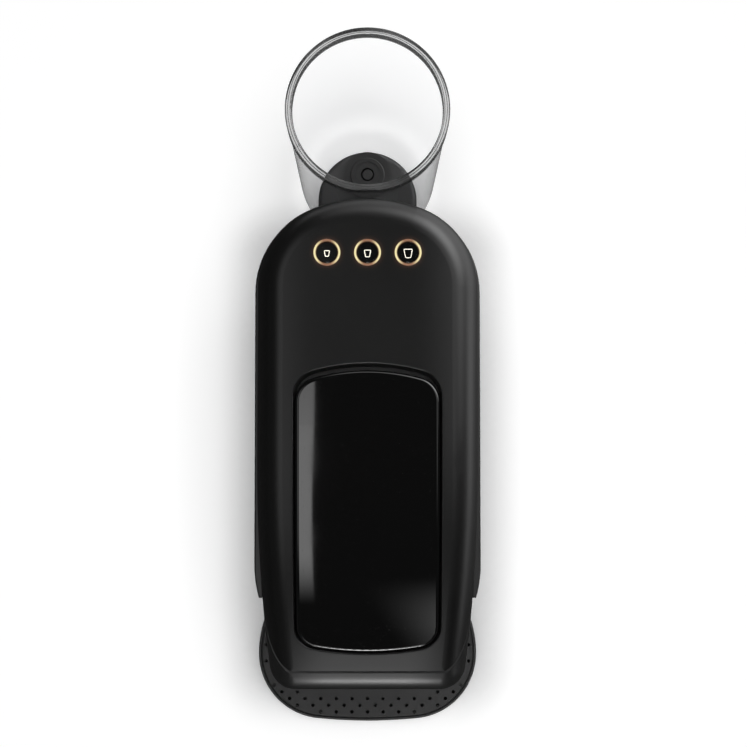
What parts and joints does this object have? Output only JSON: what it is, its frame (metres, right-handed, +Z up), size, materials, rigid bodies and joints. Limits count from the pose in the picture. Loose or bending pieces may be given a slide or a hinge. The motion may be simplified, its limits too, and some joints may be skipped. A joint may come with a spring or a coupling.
{
  "type": "pod coffee machine",
  "caption": "Slim countertop pod coffee machine: rounded black body, gloss lever over the pod chamber, lit push buttons, clear round water tank behind, pull-out drip tray",
  "frame": {"origin": "middle of the footprint, on the counter", "axes": "X to the right, -Y to the front where the coffee comes out, +Z up"},
  "size_m": [0.1396, 0.396, 0.25],
  "materials": {
    "shell_black": "satin",
    "cover_black": "satin",
    "lever_black": "gloss",
    "button_black": "gloss",
    "ring_amber": "lit",
    "tank_clear": "clear",
    "valve_grey": "satin",
    "tray_black": "fine grain",
    "base_black": "matt",
    "rubber_black": "matt",
    "seal_red": "matt",
    "hose_silicone": "satin",
    "steel": "brushed",
    "brass": "satin",
    "aluminium": "cast",
    "board_green": "solder mask",
    "component_dark": "satin",
    "inner_grey": "satin",
    "light_white": "clear"
  },
  "bodies": {
    "machine": {"base_pan": "base_black", "base_screws": "steel", "board_components": "component_dark", "board_posts": "inner_grey", "brew_chamber": "inner_grey", "brew_hose": "hose_silicone", "button_board": "board_green", "button_lights": "light_white", "coffee_spout": "base_black", "column_front": "shell_black", "cord_gland": "rubber_black", "dock_filter": "steel", "dock_seal": "seal_red", "flow_meter": "inner_grey", "head_shell": "shell_black", "heater_hose": "hose_silicone", "heating_element": "steel", "hinge_bracket": "inner_grey", "hinge_pin": "brass", "housing": "shell_black", "inner_frame": "inner_grey", "light_rings": "ring_amber", "main_board": "board_green", "pierce_plate": "steel", "pod_well": "base_black", "pump_body": "inner_grey", "pump_coil": "component_dark", "pump_hose": "hose_silicone", "pump_mounts": "rubber_black", "rubber_feet": "rubber_black", "suction_hose": "hose_silicone", "tact_switches": "component_dark", "tank_dock": "base_black", "thermoblock": "aluminium", "thermostat": "component_dark", "top_cover": "cover_black"},
    "lever": {"lever_shell": "lever_black", "lever_frame": "inner_grey", "lever_swivel": "brass", "lever_hose": "hose_silicone", "injection_head": "inner_grey", "injection_needle": "steel", "head_seal": "seal_red"},
    "small_button": {"button_small": "button_black"},
    "medium_button": {"button_medium": "button_black"},
    "large_button": {"button_large": "button_black"},
    "tank": {"water_tank": "tank_clear", "valve_body": "valve_grey"},
    "poppet": {"valve_poppet": "valve_grey"},
    "tray": {"drip_tray": "tray_black"},
    "grate": {"drip_grate": "tray_black"}
  },
  "joints": [
    {"name": "lever_hinge", "type": "hinge", "parent": "machine", "child": "lever", "pos_m": [0, -0.004, 0.243], "axis": [-1, 0, 0], "range_deg": [0, 82]},
    {"name": "small_press", "type": "slide", "parent": "machine", "child": "small_button", "axis": [0, 0, -1], "range_m": [0, 0.001], "stiffness_N_per_m": 400},
    {"name": "medium_press", "type": "slide", "parent": "machine", "child": "medium_button", "axis": [0, 0, -1], "range_m": [0, 0.001], "stiffness_N_per_m": 400},
    {"name": "large_press", "type": "slide", "parent": "machine", "child": "large_button", "axis": [0, 0, -1], "range_m": [0, 0.001], "stiffness_N_per_m": 400},
    {"name": "tank_lift", "type": "slide", "parent": "machine", "child": "tank", "axis": [0, 0, 1], "range_m": [0, 0.12]},
    {"name": "poppet_slide", "type": "slide", "parent": "tank", "child": "poppet", "axis": [0, 0, -1], "range_m": [0, 0.0025]},
    {"name": "tray_slide", "type": "slide", "parent": "machine", "child": "tray", "axis": [0, -1, 0], "range_m": [0, 0.12]},
    {"name": "grate_lift", "type": "slide", "parent": "tray", "child": "grate", "axis": [0, 0, 1], "range_m": [0, 0.06]}
  ],
  "couplings": [
    {"joint": "poppet_slide", "follows": "tank_lift", "ratio": 0.020833}
  ]
}
